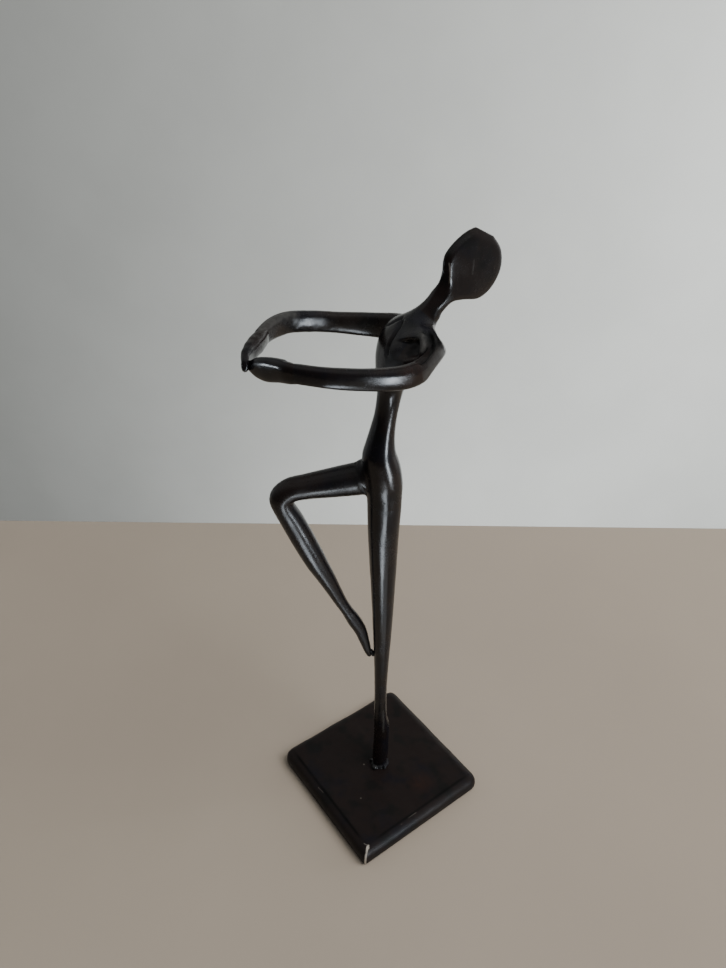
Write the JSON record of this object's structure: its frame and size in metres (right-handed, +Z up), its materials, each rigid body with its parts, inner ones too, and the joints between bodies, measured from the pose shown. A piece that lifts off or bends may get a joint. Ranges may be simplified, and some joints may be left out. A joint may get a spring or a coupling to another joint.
{
  "type": "bronze statuette",
  "caption": "Slender abstract dancer in patinated bronze, balanced on one foot with arms ringed forward and a blank disc head, on a square plate.",
  "frame": {"origin": "centre of the underside of the felt pad, on the axis of the standing foot", "axes": "+Z up; +X and +Y along the sides of the plate; the figure is turned 18 degrees on the plate and faces close to -Y"},
  "size_m": [0.0804, 0.0988, 0.3048],
  "materials": {
    "patinated_bronze": "black-brown chemical patina over cast bronze, waxed to a satin gloss",
    "patinated_braze": "brazed bead under the same patina, slightly rougher",
    "bare_bronze_rod": "drawn bronze rod, unpolished, hidden inside the joints",
    "plated_steel": "zinc-plated stud, washer and nut",
    "dark_felt": "glued felt pad, matt"
  },
  "bodies": {
    "root": {"base_plate": "patinated_bronze", "standing_leg": "patinated_bronze", "torso": "patinated_bronze", "raised_leg": "patinated_bronze", "head_and_neck": "patinated_bronze", "left_arm": "patinated_bronze", "left_hand": "patinated_bronze", "right_arm": "patinated_bronze", "right_hand": "patinated_bronze", "foot_braze": "patinated_braze", "toe_braze": "patinated_braze", "fingertip_braze": "patinated_braze", "standing_hip_dowel": "bare_bronze_rod", "raised_hip_dowel": "bare_bronze_rod", "neck_dowel": "bare_bronze_rod", "left_shoulder_dowel": "bare_bronze_rod", "right_shoulder_dowel": "bare_bronze_rod", "left_wrist_dowel": "bare_bronze_rod", "right_wrist_dowel": "bare_bronze_rod", "fixing_stud": "plated_steel", "fixing_washer": "plated_steel", "fixing_nut": "plated_steel", "felt_pad": "dark_felt"}
  },
  "joints": []
}
